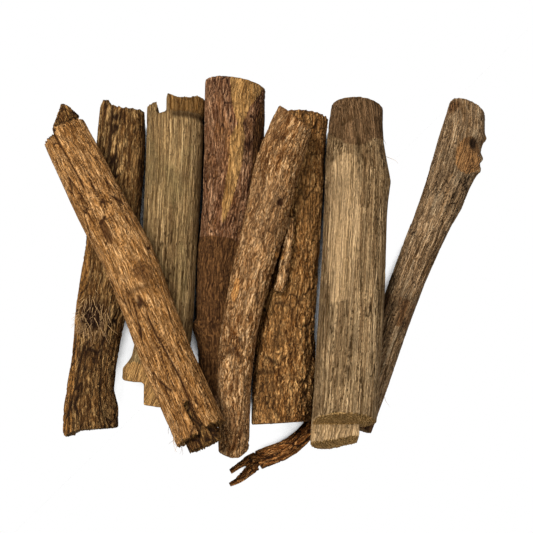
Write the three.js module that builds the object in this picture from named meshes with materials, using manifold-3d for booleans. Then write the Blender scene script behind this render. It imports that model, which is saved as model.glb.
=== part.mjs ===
// A loose bundle of short firewood: nine sticks and a small forked root, lying on one another.
// Millimetres, +Z up. The ground is z = 0. Heads of the sticks point to +Y, feet to -Y.
// Every stick grows along its own centreline, so its shape is a row of rings round that line.

import * as THREE from 'three';
import { mergeVertices } from 'three/addons/utils/BufferGeometryUtils.js';
import Module from 'manifold-3d';

const wasm = await Module();
wasm.setup();

// ---- driving dimensions ----

const GROUND = 0;
const SIDES = 20; // facets round a thick stick
const THIN_SIDES = 12; // facets round a root or a side branch

// Centrelines from head to foot: x, y, height of the centre, radius.
const STUBBED_LINE = [
  [-118.5, 132, 18.5, 18.3],
  [-119, 106, 19.3, 19.5],
  [-122.5, 40, 20.3, 20.5],
  [-127.5, -15, 19.8, 20],
  [-132.8, -50, 18.2, 18],
  [-136, -78, 18, 17.6],
  [-138.8, -108, 19.3, 19],
  [-137, -131, 21, 21.5],
];

const PEELED_LINE = [
  [-75, 137, 22.6, 23.2],
  [-74.8, 110, 22.4, 23],
  [-75.9, 59, 22.2, 22.6],
  [-78.1, 0, 21.8, 22.1],
  [-80, -45, 21.8, 22.2],
  [-83, -72, 22, 22.5],
  [-87, -92, 22.5, 23],
  [-90, -108.8, 22, 23],
];

const BURL_LINE = [
  [-25.2, 151, 23.6, 25.3],
  [-26, 122, 23.3, 25],
  [-27.2, 80, 22.8, 24.5],
  [-30, 40, 21.2, 22.8],
  [-34, 5, 18, 19.2],
  [-36, -30, 16.4, 17.5],
  [-35, -62, 13.2, 14],
  [-34, -112, 12.7, 13.5],
];

const ROUGH_LINE = [
  [29, 125, 21.5, 22],
  [26, 88, 21, 21.5],
  [23, 43, 21, 21.5],
  [18, -19, 21.5, 22],
  [14, -60, 22.5, 23],
  [12, -95, 22.5, 23],
  [10, -125, 21.5, 22],
];

// The notched log climbs towards its foot, which lies on the leaning stick.
const NOTCHED_LINE = [
  [74.7, 133, 21.5, 21],
  [73, 117, 23.4, 22],
  [72.4, 94, 26, 23.5],
  [73, 73, 28.2, 25],
  [71, 40, 32, 25],
  [69, 6, 35.8, 25],
  [67, -23, 39, 25.3],
  [64, -60, 43, 25.3],
  [61, -98, 47.2, 25],
  [57, -141, 52, 24.5],
];

// The split log lies over the stubbed stick and the peeled stick.
const SPLIT_LINE = [
  [-161, 103, 57.8, 18.4],
  [-143, 68, 59, 19.6],
  [-127, 36, 60.8, 20.3],
  [-106, -2, 63, 20.5],
  [-88, -46, 65.3, 20.2],
  [-74, -81, 66.5, 20],
  [-61, -109, 67.3, 20],
  [-47, -140, 68, 20.3],
];

// The bent stick lies on the burl stick and the rough bark stick.
const BENT_LINE = [
  [22.8, 111, 59.9, 15.9],
  [14.4, 89, 59.2, 17.5],
  [8, 70, 58.3, 18],
  [2, 42, 56.3, 17],
  [-5, 14, 53.8, 16],
  [-13, -17, 50.3, 15],
  [-20, -49, 46.2, 14.2],
  [-23, -73, 43, 13.8],
  [-25, -99, 39.5, 13],
  [-25, -125, 36.5, 12.2],
  [-25, -150, 33.5, 11.5],
];

// Its foot was chopped from both sides to a blunt point.
const FOOT_POINT = { slopes: [-17, 31], undercut: 12, right: 2, below: 2 };

const SIDE_BRANCH_LINE = [
  [19.2, 33, 49.6, 2.6],
  [16.8, 12, 48.2, 3.8],
  [13.2, -10, 47.1, 4.6],
  [9.2, -26, 46.8, 4.2],
];

const LEANING_LINE = [
  [165.5, 133.5, 16, 15.4],
  [162.5, 121, 17, 16.8],
  [157, 101, 18, 18],
  [149, 74, 18, 18],
  [138, 47, 16, 16.2],
  [127.5, 23, 15, 15],
  [113, -12, 14, 14],
  [98.5, -50, 13.3, 13.6],
  [84, -91, 13, 13.4],
  [70, -128, 12.6, 13],
];

const ROOT_LINE = [
  [47, -104, 7, 6.2],
  [36.5, -124, 7.1, 6.5],
  [24.5, -137.6, 7.3, 7],
  [10.6, -146.4, 7.4, 7.4],
  [-1, -150.6, 7.6, 7.8],
  [-6.4, -152.6, 7, 7.5],
];

const LONG_FINGER_LINE = [
  [-7.3, -157, 5, 3.5],
  [-13.7, -160.9, 4.8, 4],
  [-20.5, -166.8, 3.9, 3.2],
  [-29, -171.3, 2.8, 1.9],
];

const SHORT_FINGER_LINE = [
  [-8.6, -149.4, 5.8, 3.4],
  [-14.5, -152.4, 5.4, 3.7],
  [-20.5, -156.1, 4.9, 2.6],
  [-28.5, -161.2, 3.7, 2.4],
];

// The split log: a core inside two slabs of thick bark.
const BARK_THICKNESS = 5;
const CORE_PLAY = 1.3; // between the core and the bark round it
const CRACK_SIDES = [110, 112, 118, 124, 116, 99, 84]; // head to foot: degrees from the right, over the top
const CRACK_WIDTH_AT_HEAD = 1.2;
const CRACK_WIDTH_AT_FOOT = 7;
const SEAM_SIDE = 275; // where the slabs meet underneath
const SEAM_WIDTH = 1.2;
const BARK_PHASE = 3.3;
const CORE_TIP_RADIUS = 9;
const CORE_TAPER = 3.8; // thinner where it leaves the bark at the head
const CORE_LEANS_RIGHT = 12.4;
const CORE_OUT_AT_HEAD = 11.5;
const CORE_OUT_AT_FOOT = 8;

// The notch at the foot of the big log: a saw cut nearly half way through, then split away.
const NOTCH_DEPTH = 22; // below the top of the log
const NOTCH_LENGTH = 60;
const NOTCH_START_Y = -121;
const NOTCH_LEAN = 13; // degrees that the saw leaned back from square
const TONGUE_NARROWED_BY = 14;
const SHOULDER_BELOW = 8; // how far below the saw cut the tongue narrows

// The peeled stick: a notch in its head beside a lower splinter, and the step where half its foot broke off.
const HEAD_NOTCH = { left: -88.5, right: -80.5, floorY: 122 };
const SPLINTER_TOP_Y = 133;
const FOOT_STEP = { right: -94, floorY: -87, undercut: 14 }; // undercut: degrees that the break slopes under

// ---- colours ----

const FINISHES = {
  dark_bark: { colour: 0x6b4a2b, roughness: 0.9 },
  peeled_wood: { colour: 0x80693f, roughness: 0.85 },
  purple_bark: { colour: 0x604434, roughness: 0.88 },
  golden_bark: { colour: 0x7b5630, roughness: 0.9 },
  grey_wood: { colour: 0x857050, roughness: 0.85 },
  heartwood: { colour: 0x8a6a3d, roughness: 0.9 },
  orange_bark: { colour: 0xa87443, roughness: 0.88 },
  tan_bark: { colour: 0xa27a4e, roughness: 0.88 },
  grey_brown_bark: { colour: 0x7a6549, roughness: 0.88 },
  root_bark: { colour: 0x6b4222, roughness: 0.85 },
};

// ---- how a stick is shaped ----

const UP = new THREE.Vector3(0, 0, 1);

// A centreline with its own sideways and upward directions and its radius at any share of its length.
class Centreline {
  constructor(points) {
    this.curve = new THREE.CatmullRomCurve3(points.map(([x, y, z]) => new THREE.Vector3(x, y, z)));
    this.curve.arcLengthDivisions = 400;
    this.radii = new THREE.CatmullRomCurve3(points.map((point, k) => new THREE.Vector3(k, point[3], 0)));
    this.length = this.curve.getLength();
  }

  at(share) {
    const along = this.curve.getUtoTmapping(share);
    const forward = this.curve.getTangent(along);
    const side = new THREE.Vector3().crossVectors(UP, forward).normalize();
    return {
      middle: this.curve.getPoint(along),
      forward,
      side,
      rise: new THREE.Vector3().crossVectors(forward, side).normalize(),
      radius: this.radii.getPoint(along).y,
    };
  }
}

// Slow waves round and along a stick, so that no section is a true circle.
function unevenness(angle, share, lumps, phase) {
  const slow = Math.sin(2 * angle + phase + 2.1 * share);
  const medium = Math.sin(3 * angle - 1.7 * phase + 4.3 * share);
  const quick = Math.sin(7 * angle + 2.9 * phase + 5.7 * share);
  return 1 + lumps * (0.5 * slow + 0.35 * medium + 0.25 * quick);
}

// How far a knot stands out at a place: height at its middle, fading over its own size.
function knotRise(knot, angle, share, length) {
  const turn = Math.atan2(
    Math.sin(angle - THREE.MathUtils.degToRad(knot.side)),
    Math.cos(angle - THREE.MathUtils.degToRad(knot.side)),
  );
  const across = turn / THREE.MathUtils.degToRad(knot.spread);
  const along = ((share - knot.share) * length) / knot.reach;
  return knot.height * Math.exp(-across * across - along * along);
}

// One ring of points round the line. Ends lean by the slopes given, sideways and upwards.
function ringAt(line, share, sides, shape, slope) {
  const { middle, forward, side, rise, radius } = line.at(share);
  const ring = [];
  for (let k = 0; k < sides; k += 1) {
    const angle = (2 * Math.PI * k) / sides;
    let reach = radius * unevenness(angle, share, shape.lumps, shape.phase);
    for (const knot of shape.knots) {
      reach += knotRise(knot, angle, share, line.length);
    }
    const across = Math.cos(angle) * reach;
    const upward = Math.sin(angle) * reach;
    const shift = across * slope.sideways + upward * slope.upwards;
    const point = middle.clone();
    point.addScaledVector(side, across);
    point.addScaledVector(rise, upward);
    point.addScaledVector(forward, shift);
    point.z = Math.max(point.z, shape.lowest);
    ring.push(point);
  }
  return ring;
}

// The end of a solid stick: a fan of triangles round the middle of its ring.
function fanCap(points, ring, first, facesForward) {
  const middle = new THREE.Vector3();
  ring.forEach((point) => middle.addScaledVector(point, 1 / ring.length));
  points.push(middle);
  const hub = points.length - 1;
  return ring.flatMap((_, k) => {
    const here = first + k;
    const next = first + ((k + 1) % ring.length);
    return facesForward ? [hub, here, next] : [hub, next, here];
  });
}

// The end of a slab, whose ring runs out along one skin and back along the other: a bent strip.
function stripCap(points, ring, first, facesForward) {
  const triangles = [];
  for (let k = 0; k < ring.length / 2 - 1; k += 1) {
    const outer = first + k;
    const inner = first + ring.length - 1 - k;
    const quad = facesForward
      ? [outer, outer + 1, inner - 1, outer, inner - 1, inner]
      : [outer, inner - 1, outer + 1, outer, inner, inner - 1];
    triangles.push(...quad);
  }
  return triangles;
}

// A closed skin over a row of rings, from head to foot.
function skinOver(rings, cap = fanCap) {
  const sides = rings[0].length;
  const points = rings.flat();
  const triangles = [];
  for (let r = 0; r + 1 < rings.length; r += 1) {
    for (let k = 0; k < sides; k += 1) {
      const here = r * sides + k;
      const next = r * sides + ((k + 1) % sides);
      triangles.push(here, next, here + sides);
      triangles.push(next, next + sides, here + sides);
    }
  }
  triangles.push(...cap(points, rings[0], 0, false));
  triangles.push(...cap(points, rings[rings.length - 1], (rings.length - 1) * sides, true));
  const geometry = new THREE.BufferGeometry();
  geometry.setAttribute('position', new THREE.Float32BufferAttribute(points.flatMap((p) => p.toArray()), 3));
  geometry.setIndex(triangles);
  return geometry;
}

const SQUARE_CUT = { sideways: 0, upwards: 0 };

// A whole stick. Near each end the rings turn gradually to the slope of that end's cut.
function growStick(points, options = {}) {
  const shape = {
    sides: SIDES,
    rings: 16,
    lumps: 0.035,
    phase: 0,
    knots: [],
    lowest: GROUND,
    head: SQUARE_CUT,
    foot: SQUARE_CUT,
    from: 0,
    to: 1,
    ...options,
  };
  const line = new Centreline(points);
  const rings = [];
  for (let k = 0; k < shape.rings; k += 1) {
    const part = k / (shape.rings - 1);
    const nearHead = Math.max(0, 1 - part * 6);
    const nearFoot = Math.max(0, 1 - (1 - part) * 6);
    const slope = {
      sideways: shape.head.sideways * nearHead + shape.foot.sideways * nearFoot,
      upwards: shape.head.upwards * nearHead + shape.foot.upwards * nearFoot,
    };
    const share = shape.from + (shape.to - shape.from) * part;
    rings.push(ringAt(line, share, shape.sides, shape, slope));
  }
  return skinOver(rings);
}

// ---- joining and cutting ----

function solidOf(geometry) {
  const bare = geometry.clone();
  bare.deleteAttribute('normal');
  bare.deleteAttribute('uv');
  const merged = mergeVertices(bare, 1e-4);
  return new wasm.Manifold(new wasm.Mesh({
    numProp: 3,
    vertProperties: new Float32Array(merged.attributes.position.array),
    triVerts: new Uint32Array(merged.index.array),
  }));
}

function geometryOf(solid) {
  const mesh = solid.getMesh();
  const geometry = new THREE.BufferGeometry();
  geometry.setAttribute('position', new THREE.BufferAttribute(new Float32Array(mesh.vertProperties), 3));
  geometry.setIndex(new THREE.BufferAttribute(new Uint32Array(mesh.triVerts), 1));
  return geometry;
}

function boxAt(sizeX, sizeY, sizeZ, x, y, z, tilt = 0) {
  const box = new THREE.BoxGeometry(sizeX, sizeY, sizeZ);
  box.rotateX(THREE.MathUtils.degToRad(tilt));
  box.translate(x, y, z);
  return box;
}

const CUTTER = 120; // a side of a cutting box that reaches past the stick it cuts

function cutAway(geometry, ...boxes) {
  return geometryOf(boxes.reduce((left, box) => left.subtract(solidOf(box)), solidOf(geometry)));
}

// ---- the pieces ----

const bundle = new THREE.Group();
const contents = new THREE.Group();
bundle.add(contents);

function addPiece(name, geometry, finish) {
  const flat = geometry.toNonIndexed();
  flat.computeVertexNormals();
  const material = new THREE.MeshStandardMaterial({
    color: FINISHES[finish].colour,
    roughness: FINISHES[finish].roughness,
    metalness: 0,
  });
  const mesh = new THREE.Mesh(flat, material);
  mesh.name = name;
  contents.add(mesh);
}

function stubbedStick() {
  return growStick(STUBBED_LINE, {
    phase: 0.6,
    lumps: 0.05,
    knots: [
      { share: 0.66, side: 112, height: 6.5, reach: 12, spread: 34 },
      { share: 0.62, side: 178, height: 2, reach: 30, spread: 40 },
      { share: 0.94, side: 350, height: 3, reach: 7, spread: 34 },
    ],
    head: { sideways: 0, upwards: 0.18 },
    foot: { sideways: 0, upwards: 0.16 },
  });
}

function peeledStick() {
  const whole = growStick(PEELED_LINE, {
    rings: 24,
    phase: 2.2,
    lumps: 0.03,
    knots: [{ share: 0.93, side: 190, height: 7, reach: 7, spread: 44 }],
    head: { sideways: -0.1, upwards: 0.1 },
    foot: { sideways: 0, upwards: 0.2 },
  });
  const notchWidth = HEAD_NOTCH.right - HEAD_NOTCH.left;
  const notchX = (HEAD_NOTCH.right + HEAD_NOTCH.left) / 2;
  const half = CUTTER / 2;
  return cutAway(
    whole,
    boxAt(notchWidth, CUTTER, CUTTER, notchX, HEAD_NOTCH.floorY + half, 0),
    boxAt(CUTTER, CUTTER, CUTTER, HEAD_NOTCH.right - half, SPLINTER_TOP_Y + half, 0),
    boxAt(CUTTER, CUTTER, CUTTER, FOOT_STEP.right - half, FOOT_STEP.floorY - half, 0, FOOT_STEP.undercut),
  );
}

function burlStick() {
  return growStick(BURL_LINE, {
    phase: 4.1,
    knots: [
      { share: 0.56, side: 180, height: 3.2, reach: 24, spread: 70 },
      { share: 0.72, side: 172, height: 4.6, reach: 16, spread: 55 },
      { share: 0.1, side: 150, height: 1.6, reach: 8, spread: 24 },
    ],
    head: { sideways: 0.14, upwards: 0.04 },
  });
}

function roughBarkStick() {
  return growStick(ROUGH_LINE, {
    phase: 5.3,
    lumps: 0.045,
    knots: [{ share: 0.86, side: 10, height: 1.6, reach: 30, spread: 50 }],
    foot: { sideways: -0.13, upwards: 0.05 },
  });
}

function notchedLog() {
  const whole = growStick(NOTCHED_LINE, {
    rings: 18,
    phase: 1.4,
    lumps: 0.022,
    knots: [
      { share: 0.24, side: 8, height: 2.2, reach: 13, spread: 36 },
      { share: 0.2, side: 168, height: 1.4, reach: 10, spread: 30 },
    ],
    foot: { sideways: -0.26, upwards: -0.06 },
  });
  const line = new Centreline(NOTCHED_LINE);
  const { middle, radius } = line.at(0.93);
  const floorOfNotch = middle.z + radius - NOTCH_DEPTH;
  const notch = boxAt(
    CUTTER,
    NOTCH_LENGTH,
    NOTCH_LENGTH,
    middle.x,
    NOTCH_START_Y - NOTCH_LENGTH / 2,
    0,
    -NOTCH_LEAN,
  );
  const rise = (Math.sin(THREE.MathUtils.degToRad(NOTCH_LEAN)) * NOTCH_LENGTH) / 2;
  notch.translate(0, 0, floorOfNotch + NOTCH_LENGTH / 2 + rise);
  const rightEdge = middle.x + radius - TONGUE_NARROWED_BY;
  const shoulderY = NOTCH_START_Y - SHOULDER_BELOW - CUTTER / 2;
  const side = boxAt(CUTTER, CUTTER, CUTTER, rightEdge + CUTTER / 2, shoulderY, middle.z);
  return cutAway(whole, notch, side);
}

// The way round the log where the crack runs, at any share of its length.
function crackSide(share) {
  const place = THREE.MathUtils.clamp(share, 0, 1) * (CRACK_SIDES.length - 1);
  const before = Math.min(Math.floor(place), CRACK_SIDES.length - 2);
  const side = THREE.MathUtils.lerp(CRACK_SIDES[before], CRACK_SIDES[before + 1], place - before);
  return THREE.MathUtils.degToRad(side);
}

// A slab of bark: a thick bent strip of the log's skin between the crack and the seam underneath.
// Each station is one ring of points, along the outer skin one way and along the inner skin back.
function barkSlab(leftOfCrack, headShare, footShare) {
  const line = new Centreline(SPLIT_LINE);
  const steps = 11;
  const stations = 17;
  const rings = [];
  for (let r = 0; r < stations; r += 1) {
    const share = THREE.MathUtils.lerp(headShare, footShare, r / (stations - 1));
    const { middle, side, rise, radius } = line.at(share);
    const opening = THREE.MathUtils.lerp(CRACK_WIDTH_AT_HEAD, CRACK_WIDTH_AT_FOOT, share ** 4);
    const halfCrack = opening / 2 / radius;
    const halfSeam = SEAM_WIDTH / 2 / radius;
    const seam = THREE.MathUtils.degToRad(SEAM_SIDE);
    const crack = crackSide(share);
    const start = leftOfCrack ? crack + halfCrack : seam - 2 * Math.PI + halfSeam;
    const finish = leftOfCrack ? seam - halfSeam : crack - halfCrack;
    const ring = [];
    for (let k = 0; k < 2 * steps; k += 1) {
      const outer = k < steps;
      const across = outer ? k / (steps - 1) : 1 - (k - steps) / (steps - 1);
      const angle = start + (finish - start) * across;
      const skin = radius * unevenness(angle, share, 0.03, BARK_PHASE);
      const reach = outer ? skin : skin - BARK_THICKNESS;
      const point = middle.clone();
      point.addScaledVector(side, Math.cos(angle) * reach);
      point.addScaledVector(rise, Math.sin(angle) * reach);
      ring.push(point);
    }
    rings.push(ring);
  }
  return skinOver(rings, stripCap);
}

function splitLogCore() {
  const line = new Centreline(SPLIT_LINE);
  const first = line.at(0);
  const last = line.at(1);
  const shrink = BARK_THICKNESS + CORE_PLAY;
  const tip = first.middle.clone().addScaledVector(first.forward, -CORE_OUT_AT_HEAD);
  tip.addScaledVector(first.side, CORE_LEANS_RIGHT);
  const tail = last.middle.clone().addScaledVector(last.forward, CORE_OUT_AT_FOOT);
  const points = [
    [tip.x, tip.y, tip.z, CORE_TIP_RADIUS],
    ...SPLIT_LINE.map(([x, y, z, radius], k) => [x, y, z, radius - shrink - (k === 0 ? CORE_TAPER : 0)]),
    [tail.x, tail.y, tail.z, last.radius - shrink],
  ];
  return growStick(points, {
    rings: 18,
    sides: 18,
    lumps: 0.025,
    phase: BARK_PHASE,
    head: { sideways: 0.25, upwards: 0 },
  });
}

function bentStick() {
  const whole = growStick(BENT_LINE, {
    rings: 20,
    phase: 0.2,
    lumps: 0.03,
    knots: [{ share: 0.42, side: 20, height: 1.2, reach: 30, spread: 40 }],
    head: { sideways: 0.32, upwards: 0.16 },
    foot: { sideways: 0, upwards: 0.2 },
  });
  const [x, y, z] = BENT_LINE[BENT_LINE.length - 1];
  const cuts = FOOT_POINT.slopes.map((slope) => {
    const cutter = boxAt(CUTTER, CUTTER, CUTTER, 0, -CUTTER / 2, 0);
    cutter.rotateX(THREE.MathUtils.degToRad(FOOT_POINT.undercut));
    cutter.rotateZ(THREE.MathUtils.degToRad(slope));
    cutter.translate(x + FOOT_POINT.right, y - FOOT_POINT.below, z);
    return cutter;
  });
  return cutAway(whole, ...cuts);
}

function leaningStick() {
  return growStick(LEANING_LINE, {
    rings: 18,
    phase: 2.9,
    lumps: 0.045,
    knots: [
      { share: 0.17, side: 25, height: 4, reach: 11, spread: 40 },
      { share: 0.3, side: 5, height: 1.6, reach: 8, spread: 34 },
      { share: 0.07, side: 20, height: 2.2, reach: 7, spread: 34 },
    ],
    head: { sideways: 0.18, upwards: -0.1 },
  });
}

function thinBranch(points, phase, rings = 7) {
  return growStick(points, { sides: THIN_SIDES, rings, phase, lumps: 0.06 });
}

addPiece('stubbed_stick', stubbedStick(), 'dark_bark');
addPiece('peeled_stick', peeledStick(), 'peeled_wood');
addPiece('burl_stick', burlStick(), 'purple_bark');
addPiece('rough_bark_stick', roughBarkStick(), 'golden_bark');
addPiece('notched_log', notchedLog(), 'grey_wood');
addPiece('split_log_core', splitLogCore(), 'heartwood');
addPiece('split_log_bark_left', barkSlab(true, 0.018, 1), 'orange_bark');
addPiece('split_log_bark_right', barkSlab(false, 0, 0.99), 'orange_bark');
addPiece('bent_stick', bentStick(), 'tan_bark');
addPiece('bent_stick_side_branch', thinBranch(SIDE_BRANCH_LINE, 1.1), 'tan_bark');
addPiece('leaning_stick', leaningStick(), 'grey_brown_bark');
addPiece('root_stem', thinBranch(ROOT_LINE, 0.4, 9), 'root_bark');
addPiece('root_long_finger', thinBranch(LONG_FINGER_LINE, 2.3), 'root_bark');
addPiece('root_short_finger', thinBranch(SHORT_FINGER_LINE, 3.8), 'root_bark');

// The origin is the middle of the bundle's footprint, on the ground.
const box = new THREE.Box3().setFromObject(contents);
contents.position.set(-(box.min.x + box.max.x) / 2, -(box.min.y + box.max.y) / 2, -box.min.z);

export default bundle;
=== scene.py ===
"""A loose bundle of short firewood: nine weathered sticks and a forked root, as they lie on one another."""

import math

import bmesh
import bpy
import numpy as np
from mathutils import Matrix, Vector


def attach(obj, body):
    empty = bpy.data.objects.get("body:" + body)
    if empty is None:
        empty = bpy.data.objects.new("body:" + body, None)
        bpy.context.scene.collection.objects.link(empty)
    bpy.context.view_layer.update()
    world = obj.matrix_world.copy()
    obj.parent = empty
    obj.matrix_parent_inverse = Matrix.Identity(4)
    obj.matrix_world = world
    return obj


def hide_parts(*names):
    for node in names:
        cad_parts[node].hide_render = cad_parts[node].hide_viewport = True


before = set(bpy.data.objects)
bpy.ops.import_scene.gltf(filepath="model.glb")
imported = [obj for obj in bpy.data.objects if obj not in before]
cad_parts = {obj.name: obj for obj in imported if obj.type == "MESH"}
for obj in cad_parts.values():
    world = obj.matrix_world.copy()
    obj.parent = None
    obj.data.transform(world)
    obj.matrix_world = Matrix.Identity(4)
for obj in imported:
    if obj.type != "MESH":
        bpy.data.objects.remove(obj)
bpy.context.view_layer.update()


# ---------------------------------------------------------------------------------------------------
# The stubbed stick: a branch of rough dark bark, sawn at both ends. Half way down its left side a side
# branch was torn off, which left a hollow frayed stub. It lies on the ground at the left of the bundle.

MM = 0.001
SKIN_GRID = 0.98 * MM


def tone(code):
    """A colour as a painter writes it, such as 'A87443', in the linear light that shaders use."""
    parts = [int(code[k : k + 2], 16) / 255 for k in (0, 2, 4)]
    return (*[p / 12.92 if p <= 0.04045 else ((p + 0.055) / 1.055) ** 2.4 for p in parts], 1)


def fade(low, high, x):
    """0 below low, 1 above high, a smooth step between them."""
    t = np.clip((x - low) / (high - low), 0, 1)
    return t * t * (3 - 2 * t)


class Growth:
    """The line that a packed stick grew along, head to foot, with the way sideways and up at each place."""

    def __init__(self, node, bend=4, foot_trim=0.12):
        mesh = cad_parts[node].data
        points = np.array([v.co for v in mesh.vertices])
        mesh.calc_loop_triangles()
        faces = np.array([t.vertices for t in mesh.loop_triangles])
        self.middle = points.mean(0)
        forward = np.linalg.svd(points - self.middle, full_matrices=False)[2][0]
        forward = forward if forward[1] < 0 else -forward
        side = np.cross([0, 0, 1], forward)
        side /= np.linalg.norm(side)
        self.axes = np.stack([forward, side, np.cross(forward, side)])
        local = (points - self.middle) @ self.axes.T
        self.start = local[:, 0].min()
        self.length = np.ptp(local[:, 0])
        stations = self.start + self.length * np.linspace(0.08, 1 - foot_trim, 32)
        centres = [self.section_centre(local[faces], t) for t in stations]
        self.bends = [np.polynomial.Polynomial.fit(stations, c, bend) for c in np.transpose(centres)]

    @staticmethod
    def section_centre(corners, t):
        """The middle of the outline where the plane at t cuts the skin."""
        ends, used = [], []
        for a, b in ((0, 1), (1, 2), (2, 0)):
            low, high = corners[:, a, 0] - t, corners[:, b, 0] - t
            crossed = (low < 0) != (high < 0)
            share = np.where(crossed, low / np.where(crossed, low - high, 1), 0)
            ends.append(corners[:, a, 1:] + share[:, None] * (corners[:, b, 1:] - corners[:, a, 1:]))
            used.append(crossed)
        ends, used = np.stack(ends, 1), np.stack(used, 1)
        pair = ends[used.sum(1) == 2][used[used.sum(1) == 2]].reshape(-1, 2, 2)
        weight = np.linalg.norm(pair[:, 0] - pair[:, 1], axis=1)[:, None]
        return (pair.mean(1) * weight).sum(0) / weight.sum()

    def spot(self, share, side, out):
        """The point at a share of the length, that many degrees round and that far out."""
        t = self.start + self.length * share
        forward = np.array([1, *[bend.deriv()(t) for bend in self.bends]]) @ self.axes
        across = np.cross([0, 0, 1], forward)
        across /= np.linalg.norm(across)
        rise = np.cross(forward, across) / np.linalg.norm(forward)
        middle = self.middle + np.array([t, *[bend(t) for bend in self.bends]]) @ self.axes
        return middle + out * (math.cos(math.radians(side)) * across + math.sin(math.radians(side)) * rise)

    def places(self, points):
        """Share of the length, angle in degrees from the right over the top, distance out, and directions."""
        local = (points - self.middle) @ self.axes.T
        t = local[:, 0].copy()

        def from_line():
            return np.stack([local[:, 0] - t, *[local[:, k + 1] - self.bends[k](t) for k in (0, 1)]], 1)

        for _ in range(3):
            slope = np.stack([np.ones_like(t), *[bend.deriv()(t) for bend in self.bends]], 1)
            t += (from_line() * slope).sum(1) / (slope * slope).sum(1)
        forward = slope @ self.axes
        forward /= np.linalg.norm(forward, axis=1)[:, None]
        side = np.cross([0, 0, 1], forward)
        side /= np.linalg.norm(side, axis=1)[:, None]
        rise = np.cross(forward, side)
        world = from_line() @ self.axes
        across, up = (world * side).sum(1), (world * rise).sum(1)
        return {
            "share": (t - self.start) / self.length,
            "angle": np.degrees(np.arctan2(up, across)),
            "grain": np.stack([across, up, t - self.start], 1),
            "forward": forward,
            "out": world / np.maximum(np.linalg.norm(world, axis=1), 1e-6)[:, None],
        }


def baked(obj):
    """Applies a piece's modifiers, which leaves it a plain mesh."""
    bpy.context.view_layer.update()
    evaluated = obj.evaluated_get(bpy.context.evaluated_depsgraph_get())
    mesh = bpy.data.meshes.new_from_object(evaluated)
    obj.modifiers.clear()
    rough = obj.data
    obj.data = mesh
    bpy.data.meshes.remove(rough)
    return obj


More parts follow.
